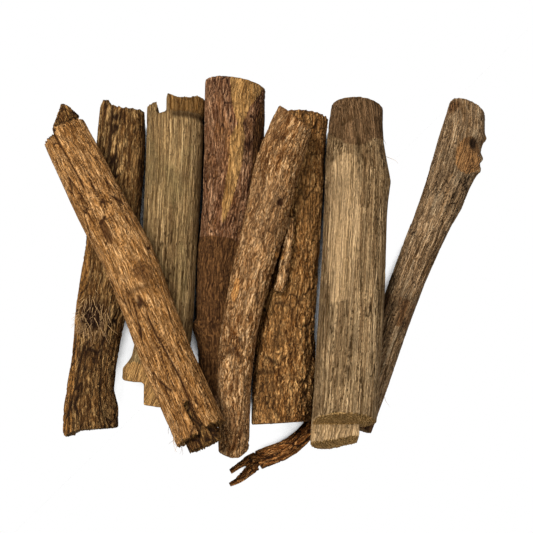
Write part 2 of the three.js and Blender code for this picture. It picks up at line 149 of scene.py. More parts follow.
class Skin:
    """The fine surface of one stick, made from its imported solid, which features are then worked into."""

    def __init__(self, name, nodes, *growths, grid=SKIN_GRID, joints=()):
        shape = bmesh.new()
        for place, radius in joints:
            at = Matrix.Translation(place)
            bmesh.ops.create_icosphere(shape, subdivisions=2, radius=radius, matrix=at)
        for node in nodes.split():
            shape.from_mesh(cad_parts[node].data)
        bmesh.ops.remove_doubles(shape, verts=shape.verts, dist=1e-6)
        mesh = bpy.data.meshes.new(name)
        shape.to_mesh(mesh)
        shape.free()
        self.obj = bpy.data.objects.new(name, mesh)
        bpy.context.scene.collection.objects.link(self.obj)
        remesh = self.obj.modifiers.new("even grid", "REMESH")
        remesh.mode = "VOXEL"
        remesh.voxel_size = grid
        smooth = self.obj.modifiers.new("soften facets", "SMOOTH")
        smooth.iterations = 3
        baked(self.obj)
        self.length = growths[0].length
        count = len(self.obj.data.vertices)
        self.points = np.zeros((count, 3))
        self.obj.data.vertices.foreach_get("co", self.points.ravel())
        normals = np.zeros((count, 3))
        self.obj.data.vertex_normals.foreach_get("vector", normals.ravel())
        found = [growth.places(self.points) for growth in growths]
        off = [np.linalg.norm(f["grain"][:, :2], axis=1) for f in found]
        off = [o + np.abs(f["share"] - np.clip(f["share"], 0, 1)) * 0.3 for o, f in zip(off, found)]
        nearest = np.argmin(off, 0)
        self.at = {key: np.stack([f[key] for f in found])[nearest, np.arange(count)] for key in found[0]}
        self.radius = np.linalg.norm(self.at["grain"][:, :2], axis=1)
        self.facing = (normals * self.at["forward"]).sum(1)
        self.cut = fade(0.55, 0.8, np.abs(self.facing))

    def turn_from(self, side):
        """Degrees round the stick from one side, -180 to 180."""
        return (self.at["angle"] - side + 180) % 360 - 180

    def near(self, share, side, reach, spread):
        """1 at a place on the stick, fading to 0: reach in metres along it, spread in degrees round it."""
        along = (self.at["share"] - share) * self.length / reach
        return np.exp(-(along**2) - (self.turn_from(side) / spread) ** 2)

    def between(self, first, last, blur=0.01):
        """1 between two shares of the length."""
        share = self.at["share"]
        return fade(first - blur, first + blur, share) * (1 - fade(last - blur, last + blur, share))

    def patch(self, *edges, blur=6):
        """1 inside a patch drawn as rows of (share of the length, first side, last side)."""
        shares, first, last = np.transpose(edges)
        low, high = (np.interp(self.at["share"], shares, ends) for ends in (first, last))
        inside = (high - low) / 2 - np.abs(self.turn_from((low + high) / 2))
        return fade(-blur, blur, inside) * self.between(shares[0], shares[-1])

    def swell(self, mask, height):
        """Raises the skin where a mask is 1, or lowers it if the height is below 0."""
        self.points += self.at["out"] * (mask * height)[:, None]

    def crack(self, path, width, depth):
        """A long crack along places (share, degrees); returns its mask."""
        shares, sides = np.transpose(path)
        off = np.radians(self.turn_from(np.interp(self.at["share"], shares, sides))) * self.radius
        taper = fade(shares[0], shares[0] + 0.06, self.at["share"])
        taper *= 1 - fade(shares[-1] - 0.06, shares[-1], self.at["share"])
        mask = np.exp(-((off / width) ** 2)) * taper
        self.swell(mask, -depth)
        return mask

    def from_end(self, end):
        """How far in each point is from the head or the foot, and the sign of the way to that end."""
        toward = 1 if end == "foot" else -1
        across, up, along = self.at["grain"].T
        half = (self.at["share"] - 0.5) * toward
        rim = (self.facing * toward > 0.55) & (half > 0)
        terms = np.stack([np.ones_like(across), across, up, across * up, across**2, up**2], 1)
        shape = np.linalg.lstsq(terms[rim], (along * toward)[rim], rcond=None)[0]
        return np.where(half > 0.2, np.clip(terms @ shape - along * toward, 0, None), 1.0), toward

    def ragged(self, end, depth, tooth, seed):
        """Breaks an end into teeth, by drawing the skin near it back by up to depth."""
        inside, toward = self.from_end(end)
        across, up, _ = self.at["grain"].T
        dice = np.random.default_rng(seed)
        teeth = np.zeros_like(across)
        for finer in (1, 1.7, 3.1, 5.3):
            turn, start = dice.uniform(0, math.tau, 2)
            place = (across * math.cos(turn) + up * math.sin(turn)) * math.pi * finer / tooth
            teeth += np.abs(np.sin(place + start)) / finer
        drawn = depth * np.clip(teeth / 1.7, 0, 1) * np.exp(-inside / (1.6 * depth))
        self.points -= self.at["forward"] * (toward * drawn)[:, None]

    def spur(self, end, side, spread, length):
        """Draws a splinter out of the rim of an end, at one side, to a point."""
        inside, toward = self.from_end(end)
        turn = np.abs(self.turn_from(side) / spread)
        rim = fade(0.55, 0.8, self.radius / np.percentile(self.radius, 60))
        drawn = length * np.exp(-(turn**1.4) - inside / (1.2 * length)) * rim
        self.points += self.at["forward"] * (toward * drawn)[:, None]

    def finish(self, **marks):
        """Writes the worked points back, with the marks that the relief and the finish read."""
        self.obj.data.vertices.foreach_set("co", self.points.ravel())
        vectors = {"grain": self.at["grain"], "growth": self.at["forward"]}
        # The hollow mark tells the finish where to paint shade into holes, cracks and steps.
        marks = {"cut": self.cut, "bare": 0, "stain": 0, "hollow": 0, "granular": 0, "fray": 0, **marks}
        for name, values in marks.items():
            layer = self.obj.data.attributes.new(name, "FLOAT", "POINT")
            layer.data.foreach_set("value", np.broadcast_to(values, len(self.points)).astype(np.float32))
        for name, values in vectors.items():
            layer = self.obj.data.attributes.new(name, "FLOAT_VECTOR", "POINT")
            layer.data.foreach_set("vector", np.asarray(values, np.float32).ravel())
        self.obj.data.update()


def put(tree, kind, inputs=(), **settings):
    """Adds a node, with its settings, and its inputs as values or as the sockets that feed them."""
    made = tree.nodes.new(kind)
    for key, value in settings.items():
        setattr(made, key, value)
    for key, value in dict(inputs).items():
        if isinstance(value, bpy.types.NodeSocket):
            tree.links.new(value, made.inputs[key])
        else:
            made.inputs[key].default_value = value
    return made


def new_material(name):
    """A material with an empty node tree."""
    material = bpy.data.materials.new(name)
    material.use_nodes = True
    material.node_tree.nodes.clear()
    return material, material.node_tree


def reckon(tree, operation, *values, clamp=False):
    """A Math node's result."""
    made = put(tree, "ShaderNodeMath", enumerate(values), operation=operation, use_clamp=clamp)
    return made.outputs[0]


def vector_reckon(tree, operation, first, second):
    """A Vector Math node's result."""
    made = put(tree, "ShaderNodeVectorMath", {0: first, 1: second}, operation=operation)
    return made.outputs[0]


def scaled(tree, vector, by):
    return put(tree, "ShaderNodeVectorMath", {0: vector, "Scale": by}, operation="SCALE").outputs[0]


def thrice(tree, value):
    """A vector with one value in all three places."""
    return put(tree, "ShaderNodeCombineXYZ", {0: value, 1: value, 2: value}).outputs[0]


def spread_over(tree, value, low, high, to_low=0.0, to_high=1.0, smooth=True):
    """A Map Range node's result."""
    made = put(
        tree,
        "ShaderNodeMapRange",
        {0: value, 1: low, 2: high, 3: to_low, 4: to_high},
        interpolation_type="SMOOTHSTEP" if smooth else "LINEAR",
    )
    return made.outputs[0]


def stretched(tree, vector, width, length):
    """Coordinates in which a pattern is one width across the grain and one length along it."""
    across = reckon(tree, "DIVIDE", 1.0, width)
    along = reckon(tree, "DIVIDE", 1.0, length)
    scale = put(tree, "ShaderNodeCombineXYZ", {0: across, 1: across, 2: along}).outputs[0]
    return vector_reckon(tree, "MULTIPLY", vector, scale)


def noise(tree, vector, detail=2.0, roughness=0.55, distortion=0.0):
    """A noise of about one wave to each unit of the coordinates."""
    return put(
        tree,
        "ShaderNodeTexNoise",
        {"Vector": vector, "Scale": 1.0, "Detail": detail, "Roughness": roughness, "Distortion": distortion},
        noise_dimensions="3D",
    )


def mark(tree, name, kind="FLOAT"):
    """A mark that the skin carries, as Geometry Nodes read it."""
    return put(tree, "GeometryNodeInputNamedAttribute", {"Name": name}, data_type=kind).outputs[0]


def keep_mark(tree, geometry, name, value, kind="FLOAT"):
    made = {"Geometry": geometry, "Name": name, "Value": value}
    return put(tree, "GeometryNodeStoreNamedAttribute", made, data_type=kind, domain="POINT").outputs[0]


def finish_tree(tree, geometry, finish, out):
    """Ends a tree with real faces in their finish."""
    real = put(tree, "GeometryNodeRealizeInstances", {"Geometry": geometry}).outputs[0]
    made = put(tree, "GeometryNodeSetMaterial", {"Geometry": real, "Material": finish}).outputs[0]
    tree.links.new(made, out["Geometry"])
    return tree


FLOAT, VECTOR = "NodeSocketFloat", "NodeSocketVector"
GEOMETRY, MATERIAL = "NodeSocketGeometry", "NodeSocketMaterial"


def new_group(kind, name, inputs, outputs):
    """An empty node group with its sockets; gives the group, and its input and output sockets."""
    group = bpy.data.node_groups.new(name, kind)
    for title, (socket_kind, value) in inputs.items():
        socket = group.interface.new_socket(title, in_out="INPUT", socket_type=socket_kind)
        if value is not None:
            socket.default_value = value
    for title, socket_kind in outputs.items():
        group.interface.new_socket(title, in_out="OUTPUT", socket_type=socket_kind)
    return group, group.nodes.new("NodeGroupInput").outputs, group.nodes.new("NodeGroupOutput").inputs


RELIEF_SIZES = {
    "Plate Width": 7.0,
    "Plate Length": 18.0,
    "Plate Gap": 0.6,
    "Plate Depth": 0.7,
    "Plate Lift": 0.4,
    "Ridge Width": 3.2,
    "Ridge Length": 22.0,
    "Ridge Depth": 0.7,
    "Split Width": 5.0,
    "Split Length": 90.0,
    "Split Depth": 0.9,
    "Grit Size": 1.8,
    "Grit Depth": 0.2,
    "Granule": 2.2,
    "Lump Size": 24.0,
    "Lump Depth": 0.8,
    "Waviness": 1.6,
}


def make_relief_tree():
    """Bark: plates parted by gaps, long ridges, splits, grit and slow lumps, pushed out along the skin."""
    inputs = {
        "Geometry": (GEOMETRY, None),
        **{name: (FLOAT, value) for name, value in RELIEF_SIZES.items()},
        "Seed": (FLOAT, 0.0),
        "Finish": (MATERIAL, None),
    }
    tree, given, out = new_group("GeometryNodeTree", "bark_relief", inputs, {"Geometry": GEOMETRY})
    size = {name: reckon(tree, "MULTIPLY", given[name], MM) for name in RELIEF_SIZES}
    seed = thrice(tree, given["Seed"])
    grain = mark(tree, "grain", "FLOAT_VECTOR")
    slow = vector_reckon(tree, "ADD", stretched(tree, grain, size["Lump Size"], size["Lump Size"]), seed)
    drift = vector_reckon(tree, "SUBTRACT", noise(tree, slow, 3.0).outputs["Color"], (0.5, 0.5, 0.5))
    wave = scaled(tree, drift, size["Waviness"])
    grain = vector_reckon(tree, "ADD", grain, vector_reckon(tree, "MULTIPLY", wave, (3.0, 3.0, 9.0)))

    def along(width, length, shift):
        place = stretched(tree, grain, size[width], size[length])
        return vector_reckon(tree, "ADD", place, vector_reckon(tree, "ADD", seed, (shift, shift, shift)))

    def valley(value, width):
        """1 where a noise crosses its middle value, 0 elsewhere: a wandering line."""
        from_middle = reckon(tree, "ABSOLUTE", reckon(tree, "SUBTRACT", value, 0.5))
        return spread_over(tree, from_middle, 0.0, width, 1.0, 0.0)

    plates = along("Plate Width", "Plate Length", 3.1)
    cells = {"Vector": plates, "Scale": 1.0, "Randomness": 1.0}
    edge = put(tree, "ShaderNodeTexVoronoi", cells, feature="DISTANCE_TO_EDGE").outputs["Distance"]
    tint = put(tree, "ShaderNodeTexVoronoi", cells, feature="F1").outputs["Color"]
    lift = put(tree, "ShaderNodeSeparateXYZ", {0: tint}).outputs[0]
    patchy = noise(tree, vector_reckon(tree, "MULTIPLY", plates, (0.45, 0.45, 0.45)), 1.0).outputs[0]
    gap = reckon(tree, "DIVIDE", size["Plate Gap"], size["Plate Width"])
    gap = reckon(tree, "MULTIPLY", gap, spread_over(tree, patchy, 0.35, 0.62, 0.15, 1.5))
    plate_gap = spread_over(tree, reckon(tree, "DIVIDE", edge, gap), 0.0, 1.0, 1.0, 0.0)
    splits = noise(tree, along("Split Width", "Split Length", 37.0), 3.0, 0.5).outputs[0]
    where = noise(tree, along("Split Length", "Split Length", 51.0), 1.0).outputs[0]
    split = reckon(tree, "MULTIPLY", valley(splits, 0.022), spread_over(tree, where, 0.42, 0.55))
    ridge = valley(noise(tree, along("Ridge Width", "Ridge Length", 11.0), 3.0, 0.55).outputs[0], 0.05)
    grit = noise(tree, along("Grit Size", "Grit Size", 23.0), 2.0, 0.6).outputs[0]
    lump = noise(tree, slow, 3.0, 0.5).outputs[0]
    granular = mark(tree, "granular")
    smoother = reckon(tree, "MULTIPLY", reckon(tree, "MAXIMUM", mark(tree, "bare"), granular), 0.75)
    covered = reckon(tree, "SUBTRACT", 1.0, smoother, clamp=True)
    whole = reckon(tree, "SUBTRACT", 1.0, reckon(tree, "MULTIPLY", mark(tree, "cut"), 0.8), clamp=True)

    def part(amount, value, middle):
        return reckon(tree, "MULTIPLY", amount, reckon(tree, "SUBTRACT", value, middle))

    bark = part(size["Plate Lift"], lift, 0.5)
    for depth, line_mask in (("Plate Depth", plate_gap), ("Ridge Depth", ridge), ("Split Depth", split)):
        bark = reckon(tree, "SUBTRACT", bark, reckon(tree, "MULTIPLY", size[depth], line_mask))
    bark = reckon(tree, "MULTIPLY", reckon(tree, "MULTIPLY", bark, covered), whole)
    height = reckon(tree, "ADD", bark, part(size["Grit Depth"], grit, 0.5))
    grains = noise(tree, along("Granule", "Granule", 71.0), 2.0, 0.6).outputs[0]
    height = reckon(tree, "ADD", height, part(reckon(tree, "MULTIPLY", granular, 2.6 * MM), grains, 0.5))
    height = reckon(tree, "ADD", height, part(size["Lump Depth"], lump, 0.5))
    deepest = reckon(tree, "MAXIMUM", plate_gap, split)
    dips = reckon(tree, "MULTIPLY", spread_over(tree, grains, 0.46, 0.3, 0.0, 0.7), granular)
    deepest = reckon(tree, "MAXIMUM", reckon(tree, "MULTIPLY", deepest, covered), dips)
    ridge = reckon(tree, "MULTIPLY", ridge, covered)
    geometry = given["Geometry"]
    # The ridge and gap marks tell the finish where to paint shade: ridge valleys, the deepest plate gaps and
    # splits, and granule pits. The plate mark tints each plate.
    for name, value in (("ridge", ridge), ("gap", deepest), ("plate", lift)):
        geometry = keep_mark(tree, geometry, name, value)
    push = scaled(tree, put(tree, "GeometryNodeInputNormal").outputs[0], height)
    geometry = put(tree, "GeometryNodeSetPosition", {"Geometry": geometry, "Offset": push}).outputs[0]
    place = put(tree, "ShaderNodeSeparateXYZ", {0: put(tree, "GeometryNodeInputPosition").outputs[0]}).outputs
    level = reckon(tree, "MAXIMUM", place[2], 0.0)
    grounded = put(tree, "ShaderNodeCombineXYZ", {0: place[0], 1: place[1], 2: level}).outputs[0]
    geometry = put(tree, "GeometryNodeSetPosition", {"Geometry": geometry, "Position": grounded}).outputs[0]
    smooth = {"Geometry": geometry, "Shade Smooth": True}
    geometry = put(tree, "GeometryNodeSetShadeSmooth", smooth).outputs[0]
    return finish_tree(tree, geometry, given["Finish"], out)


def grow(obj, tree, **values):
    """Runs a tree on a mesh and leaves the plain result on it."""
    modifier = obj.modifiers.new("grow", "NODES")
    modifier.node_group = tree
    sockets = {s.name: s.identifier for s in tree.interface.items_tree if s.in_out == "INPUT"}
    for name, value in values.items():
        modifier[sockets[name.replace("_", " ")]] = value
    return baked(obj)


relief_tree = make_relief_tree()


def make_fibre_tree():
    """Loose fibres: tapering threads that spring from the frayed parts of a skin and bend as they go."""
    inputs = {
        "Geometry": (GEOMETRY, None),
        "Per Square Centimetre": (FLOAT, 20.0),
        "Length": (FLOAT, 10.0),
        "Thickness": (FLOAT, 0.5),
        "Rise": (FLOAT, 0.3),
        "Spread": (FLOAT, 0.4),
        "Bend": (FLOAT, 3.0),
        "Seed": ("NodeSocketInt", 0),
        "Finish": (MATERIAL, None),
    }
    tree, given, out = new_group("GeometryNodeTree", "loose_fibres", inputs, {"Geometry": GEOMETRY})
    per_square_metre = reckon(tree, "MULTIPLY", given["Per Square Centimetre"], 1e4)
    density = reckon(tree, "MULTIPLY", per_square_metre, mark(tree, "fray"))
    roots = put(
        tree,
        "GeometryNodeDistributePointsOnFaces",
        {"Mesh": given["Geometry"], "Density": density, "Seed": given["Seed"]},
        distribute_method="RANDOM",
    )
    ends = {0: (-1, -1, -1), 1: (1, 1, 1), 8: given["Seed"]}
    chance = put(tree, "FunctionNodeRandomValue", ends, data_type="FLOAT_VECTOR").outputs[0]
    points = keep_mark(tree, roots.outputs["Points"], "sway", chance, "FLOAT_VECTOR")
    points = keep_mark(tree, points, "outward", roots.outputs["Normal"], "FLOAT_VECTOR")
    sway, growth, outward = (mark(tree, name, "FLOAT_VECTOR") for name in ("sway", "growth", "outward"))
    heading = vector_reckon(tree, "ADD", growth, scaled(tree, sway, given["Spread"]))
    heading = vector_reckon(tree, "ADD", heading, scaled(tree, outward, given["Rise"]))
    line = put(tree, "GeometryNodeCurvePrimitiveLine", {"Start": (0, 0, 0), "End": (0, 0, MM)}).outputs[0]
    line = put(tree, "GeometryNodeResampleCurve", {"Curve": line, "Count": 8}).outputs[0]
    turn = put(tree, "FunctionNodeAlignRotationToVector", {"Vector": heading}, axis="Z").outputs[0]
    parts = put(tree, "ShaderNodeSeparateXYZ", {0: sway}).outputs
    shorter = spread_over(tree, parts[0], -1.0, 1.0, 0.35, 1.3, smooth=False)
    length = reckon(tree, "MULTIPLY", given["Length"], shorter)
    fibres = put(
        tree,
        "GeometryNodeInstanceOnPoints",
        {"Points": points, "Instance": line, "Rotation": turn, "Scale": length},
    ).outputs[0]
    fibres = put(tree, "GeometryNodeRealizeInstances", {"Geometry": fibres}).outputs[0]
    share = put(tree, "GeometryNodeSplineParameter").outputs["Factor"]
    place = put(tree, "GeometryNodeInputPosition").outputs[0]
    place = vector_reckon(tree, "ADD", scaled(tree, place, 70.0), scaled(tree, sway, 3.0))
    bend = vector_reckon(tree, "SUBTRACT", noise(tree, place, 1.0).outputs["Color"], (0.5, 0.5, 0.5))
    reach = reckon(tree, "MULTIPLY", given["Bend"], 4 * MM)
    reach = reckon(tree, "MULTIPLY", reach, reckon(tree, "POWER", share, 1.5))
    moved = {"Geometry": fibres, "Offset": scaled(tree, bend, reach)}
    fibres = put(tree, "GeometryNodeSetPosition", moved).outputs[0]
    taper = spread_over(tree, share, 0.0, 1.0, 1.0, 0.25, smooth=False)
    fibres = put(tree, "GeometryNodeSetCurveRadius", {"Curve": fibres, "Radius": taper}).outputs[0]
    radius = reckon(tree, "MULTIPLY", given["Thickness"], 0.5 * MM)
    profile = put(tree, "GeometryNodeCurvePrimitiveCircle", {"Resolution": 3, "Radius": radius}).outputs[0]
    to_mesh = {"Curve": fibres, "Profile Curve": profile, "Scale": taper, "Fill Caps": True}
    threads = put(tree, "GeometryNodeCurveToMesh", to_mesh).outputs[0]
    return finish_tree(tree, threads, given["Finish"], out)


fibre_tree = make_fibre_tree()


def make_streaks_group():
    """Streaks along the grain, evened out to lie between 0 and 1, and the thin dark lines between fibres."""
    inputs = {
        "Grain": (VECTOR, None),
        "Width": (FLOAT, 1.2 * MM),
        "Length": (FLOAT, 20 * MM),
        "Waviness": (FLOAT, 0.6),
        "Seed": (FLOAT, 0.0),
    }
    outputs = {"Streaks": FLOAT, "Coarse": FLOAT, "Lines": FLOAT}
    group, given, out = new_group("ShaderNodeTree", "wood_streaks", inputs, outputs)
    bends = noise(group, vector_reckon(group, "MULTIPLY", given["Grain"], (90.0, 90.0, 90.0)), 2.0)
    bends = vector_reckon(group, "SUBTRACT", bends.outputs["Color"], (0.5, 0.5, 0.5))
    reach = reckon(group, "MULTIPLY", given["Waviness"], 6 * MM)
    grain = vector_reckon(group, "ADD", given["Grain"], scaled(group, bends, reach))
    shift = thrice(group, given["Seed"])

    def layer(times_width, times_length, detail, roughness):
        width = reckon(group, "MULTIPLY", given["Width"], times_width)
        length = reckon(group, "MULTIPLY", given["Length"], times_length)
        place = vector_reckon(group, "ADD", stretched(group, grain, width, length), shift)
        return noise(group, place, detail, roughness).outputs[0]

    fine = spread_over(group, layer(1.0, 1.0, 3.0, 0.75), 0.34, 0.66, smooth=False)
    coarse = spread_over(group, layer(4.0, 1.8, 3.0, 0.6), 0.35, 0.65, smooth=False)
    crossing = reckon(group, "ABSOLUTE", reckon(group, "SUBTRACT", layer(1.6, 1.3, 2.0, 0.5), 0.5))
    lines = spread_over(group, crossing, 0.0, 0.07, 1.0, 0.0)
    for name, value in (("Streaks", fine), ("Coarse", coarse), ("Lines", lines)):
        group.links.new(value, out[name])
    return group


def make_weathering_group():
    """Patches of weathering of one size, 0 to 1, wandering in outline, and a fine speckle."""
    inputs = {"Grain": (VECTOR, None), "Size": (FLOAT, 30 * MM), "Cover": (FLOAT, 0.5), "Seed": (FLOAT, 0.0)}
    outputs = {"Blotches": FLOAT, "Speckle": FLOAT}
    group, given, out = new_group("ShaderNodeTree", "weathering", inputs, outputs)
    length = reckon(group, "MULTIPLY", given["Size"], 2.2)
    shift = thrice(group, given["Seed"])
    place = vector_reckon(group, "ADD", stretched(group, given["Grain"], given["Size"], length), shift)
    patches = noise(group, place, 6.0, 0.62, 0.3).outputs[0]
    edge = spread_over(group, given["Cover"], 0.0, 1.0, 0.72, 0.3, smooth=False)
    mask = spread_over(group, reckon(group, "SUBTRACT", patches, edge), -0.08, 0.1)
    speck = noise(group, vector_reckon(group, "MULTIPLY", given["Grain"], (800.0, 800.0, 500.0)), 3.0, 0.75)
    group.links.new(mask, out["Blotches"])
    group.links.new(spread_over(group, speck.outputs[0], 0.3, 0.7, smooth=False), out["Speckle"])
    return group


def make_end_grain_group():
    """Growth rings round the heart and small checks running out from it."""
    inputs = {"Grain": (VECTOR, None), "Ring": (FLOAT, 1.6 * MM)}
    group, given, out = new_group("ShaderNodeTree", "end_grain", inputs, {"Rings": FLOAT, "Checks": FLOAT})
    flat = vector_reckon(group, "MULTIPLY", given["Grain"], (1.0, 1.0, 0.0))
    wobble = noise(group, vector_reckon(group, "MULTIPLY", flat, (120.0, 120.0, 0.0)), 2.0).outputs[0]
    out_from = put(group, "ShaderNodeVectorMath", {0: flat}, operation="LENGTH").outputs["Value"]
    turns = reckon(group, "DIVIDE", out_from, given["Ring"])
    turns = reckon(group, "MULTIPLY_ADD", wobble, 3.0, turns)
    rings = reckon(group, "PINGPONG", turns, 0.5)
    parts = put(group, "ShaderNodeSeparateXYZ", {0: flat}).outputs
    angle = reckon(group, "ARCTAN2", parts[1], parts[0])
    turned = {0: reckon(group, "COSINE", angle), 1: reckon(group, "SINE", angle)}
    around = put(group, "ShaderNodeCombineXYZ", turned).outputs[0]
    rays = noise(group, vector_reckon(group, "MULTIPLY", around, (9.0, 9.0, 9.0)), 4.0, 0.7).outputs[0]
    group.links.new(reckon(group, "MULTIPLY", rings, 2.0), out["Rings"])
    group.links.new(spread_over(group, rays, 0.6, 0.68), out["Checks"])
    return group


streaks_group = make_streaks_group()
weathering_group = make_weathering_group()
end_grain_group = make_end_grain_group()


def blend_over(tree, mask, under, over):
    """One colour where a mask is 0, another where it is 1."""
    colours = {"Factor": mask, 6: under, 7: over}
    return put(tree, "ShaderNodeMix", colours, data_type="RGBA").outputs[2]


TONE_PLACES = (0.2, 0.38, 0.5, 0.62, 0.8)


def wood_finish(name, tones, crevice_shade, bare, stain, cut, **look):
    """Bark or bare wood, with shade painted into its hollows, gaps and grooves. Tones run dark to light, five
    for the wood and two for each kind of patch.
    """
    look = {
        "streak_width": 1.3,
        "streak_length": 16.0,
        "waviness": 0.6,
        "blotch": None,
        "blotch_size": 26.0,
        "blotch_cover": 0.4,
        "blotch_strength": 0.6,
        # How strongly ridge valleys, plate gaps and the lines between fibres are painted with shade.
        "ridge_dark": 0.4,
        "gap_dark": 0.9,
        "line_dark": 0.42,
        "seed": 0.0,
        **look,
    }
    material, tree = new_material(name)

    def carried(title, output="Fac"):
        """A mark that the skin carries, as the finish reads it."""
        return put(tree, "ShaderNodeAttribute", attribute_name=title).outputs[output]

    def group(made, **values):
        return put(tree, "ShaderNodeGroup", values, node_tree=made).outputs

    grain = carried("grain", "Vector")
    streaks = group(
        streaks_group,
        Grain=grain,
        Width=look["streak_width"] * MM,
        Length=look["streak_length"] * MM,
        Waviness=look["waviness"],
        Seed=look["seed"],
    )
    weather = group(
        weathering_group,
        Grain=grain,
        Size=look["blotch_size"] * MM,
        Cover=look["blotch_cover"],
        Seed=look["seed"],
    )
    ends = group(end_grain_group, Grain=grain)
    shade = reckon(tree, "MULTIPLY", streaks["Streaks"], 0.6)
    for pattern, part in ((streaks["Coarse"], 0.2), (carried("plate"), 0.12), (weather["Speckle"], 0.08)):
        shade = reckon(tree, "MULTIPLY_ADD", pattern, part, shade)

    def ramp_of(value, codes):
        """A colour for each tone, at even steps of how common it is."""
        made = put(tree, "ShaderNodeValToRGB", {0: value})
        codes = codes.split()
        places = TONE_PLACES if len(codes) == len(TONE_PLACES) else (0.25, 0.75)
        for index, (place, code) in enumerate(zip(places, codes)):
            stop = made.color_ramp.elements[0] if index == 0 else made.color_ramp.elements.new(place)
            stop.position = place
            stop.color = tone(code)
        made.color_ramp.elements.remove(made.color_ramp.elements[-1])
        return made.outputs[0]

    def torn(mask):
        """A soft mark from the mesh, given the ragged edge that flakes and stains have."""
        frayed = reckon(tree, "MULTIPLY_ADD", reckon(tree, "SUBTRACT", streaks["Coarse"], 0.5), 0.3, mask)
        frayed = reckon(tree, "MULTIPLY_ADD", reckon(tree, "SUBTRACT", streaks["Streaks"], 0.5), 0.2, frayed)
        return spread_over(tree, frayed, 0.4, 0.56)

    colour = ramp_of(shade, tones)
    if look["blotch"]:
        cover = reckon(tree, "MULTIPLY", weather["Blotches"], look["blotch_strength"])
        colour = blend_over(tree, cover, colour, tone(look["blotch"]))
    colour = blend_over(tree, torn(carried("stain")), colour, ramp_of(streaks["Streaks"], stain))
    colour = blend_over(tree, torn(carried("bare")), colour, ramp_of(shade, bare))
    rings = reckon(tree, "MULTIPLY_ADD", ends["Rings"], 0.4, reckon(tree, "MULTIPLY", shade, 0.6))
    # Checks on the cut ends take the dark crevice tone: dark cracks, partly painted shade in them.
    checks = reckon(tree, "MULTIPLY", ends["Checks"], 0.7)
    cut_wood = blend_over(tree, checks, ramp_of(rings, cut), tone(crevice_shade))
    colour = blend_over(tree, carried("cut"), colour, cut_wood)
    # Painted shade: the colour goes toward the dark crevice tone in hollows, plate gaps, splits, granule
    # pits, ridge valleys and the thin lines between fibres, where shade falls. The bark is also partly darker
    # there of its own.
    dark = carried("hollow")
    for lines, strength in ((carried("ridge"), "ridge"), (carried("gap"), "gap"), (streaks["Lines"], "line")):
        dark = reckon(tree, "MAXIMUM", dark, reckon(tree, "MULTIPLY", lines, look[strength + "_dark"]))
    lit = reckon(tree, "POWER", reckon(tree, "SUBTRACT", 1.0, dark, clamp=True), 2.0)
    colour = blend_over(tree, lit, tone(crevice_shade), colour)
    speckled = spread_over(tree, weather["Speckle"], 0.0, 1.0, 0.8, 1.2, smooth=False)
    colour = vector_reckon(tree, "MULTIPLY", colour, thrice(tree, speckled))
    height = reckon(tree, "MULTIPLY", weather["Speckle"], 0.6)
    height = reckon(tree, "MULTIPLY_ADD", streaks["Streaks"], 0.7, height)
    height = reckon(tree, "SUBTRACT", height, reckon(tree, "MULTIPLY", streaks["Lines"], 0.8))
    bump = put(tree, "ShaderNodeBump", {"Strength": 1.0, "Distance": 1.0 * MM, "Height": height})
    rough = spread_over(tree, streaks["Streaks"], 0.0, 1.0, 0.93, 0.75)
    shader = put(
        tree,
        "ShaderNodeBsdfPrincipled",
        {"Base Color": colour, "Roughness": rough, "Normal": bump.outputs[0], "Specular IOR Level": 0.06},
    )
    put(tree, "ShaderNodeOutputMaterial", {"Surface": shader.outputs[0]})
    return material


def shown(obj, slot, *nodes):
    """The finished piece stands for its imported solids, in the bundle's one body."""
    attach(obj, "root")
    if nodes:
        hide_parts(*nodes)


STUB = (0.66, 98)  # where the torn branch was: share of the length, degrees
line = Growth("stubbed_stick")
skin = Skin("stubbed_stick_bark", "stubbed_stick", line)
skin.ragged("head", 1.6 * MM, 5 * MM, seed=1)
skin.spur("head", 146, 26, 8 * MM)
skin.ragged("foot", 1.8 * MM, 4 * MM, seed=3)
skin.spur("foot", 150, 22, 4 * MM)
stub = skin.near(*STUB, 11 * MM, 24)
collar = skin.near(*STUB, 17 * MM, 42)
skin.swell(collar, 1.5 * MM)
skin.swell(stub, -5 * MM)
groove = skin.crack([(0.0, 118), (0.12, 112), (0.3, 120)], 1.4 * MM, 1.8 * MM)
skin.swell(skin.near(0.92, 20, 9 * MM, 20), 1.5 * MM)
# The stain mark makes the stick lighter and warmer on its left side, from 0.3 of the length to the foot.
skin.finish(
    stain=skin.patch((0.3, 130, 200), (0.7, 132, 200), (1.1, 125, 200), blur=16),
    hollow=np.clip(1.5 * stub + 0.8 * groove, 0, 0.9),
    fray=fade(0.2, 0.6, collar),
    bare=0.9 * skin.near(0.19, 45, 20 * MM, 12),
)
dark_bark = wood_finish(
    "dark_bark",
    "37210B 533719 6B4B28 83633A A68353",
    crevice_shade="1E1006",
    bare="634423 937043",
    stain="623F1C 9B6D37",
    cut="533B20 7F623A",
    streak_width=1.4, streak_length=14.0, ridge_dark=0.5, seed=1.0,
)
grow(
    skin.obj, relief_tree, Plate_Width=8.0, Plate_Length=90.0, Plate_Gap=0.45, Plate_Depth=1.0,
    Plate_Lift=0.8, Ridge_Width=3.6, Ridge_Length=26.0, Ridge_Depth=1.0, Waviness=2.0, Seed=1.0,
    Finish=dark_bark,
)
shown(skin.obj, "dark_bark", "stubbed_stick")


def fibre_finish(name, dark, light):
    """Bare fibres, each a little lighter or darker than the next."""
    material, tree = new_material(name)
    sway = put(tree, "ShaderNodeAttribute", attribute_name="sway").outputs["Vector"]
    each = put(tree, "ShaderNodeSeparateXYZ", {0: sway}).outputs[1]
    colour = blend_over(tree, spread_over(tree, each, -1.0, 1.0), tone(dark), tone(light))
    shader = put(tree, "ShaderNodeBsdfPrincipled", {"Base Color": colour, "Roughness": 0.8})
    put(tree, "ShaderNodeOutputMaterial", {"Surface": shader.outputs[0]})
    return material


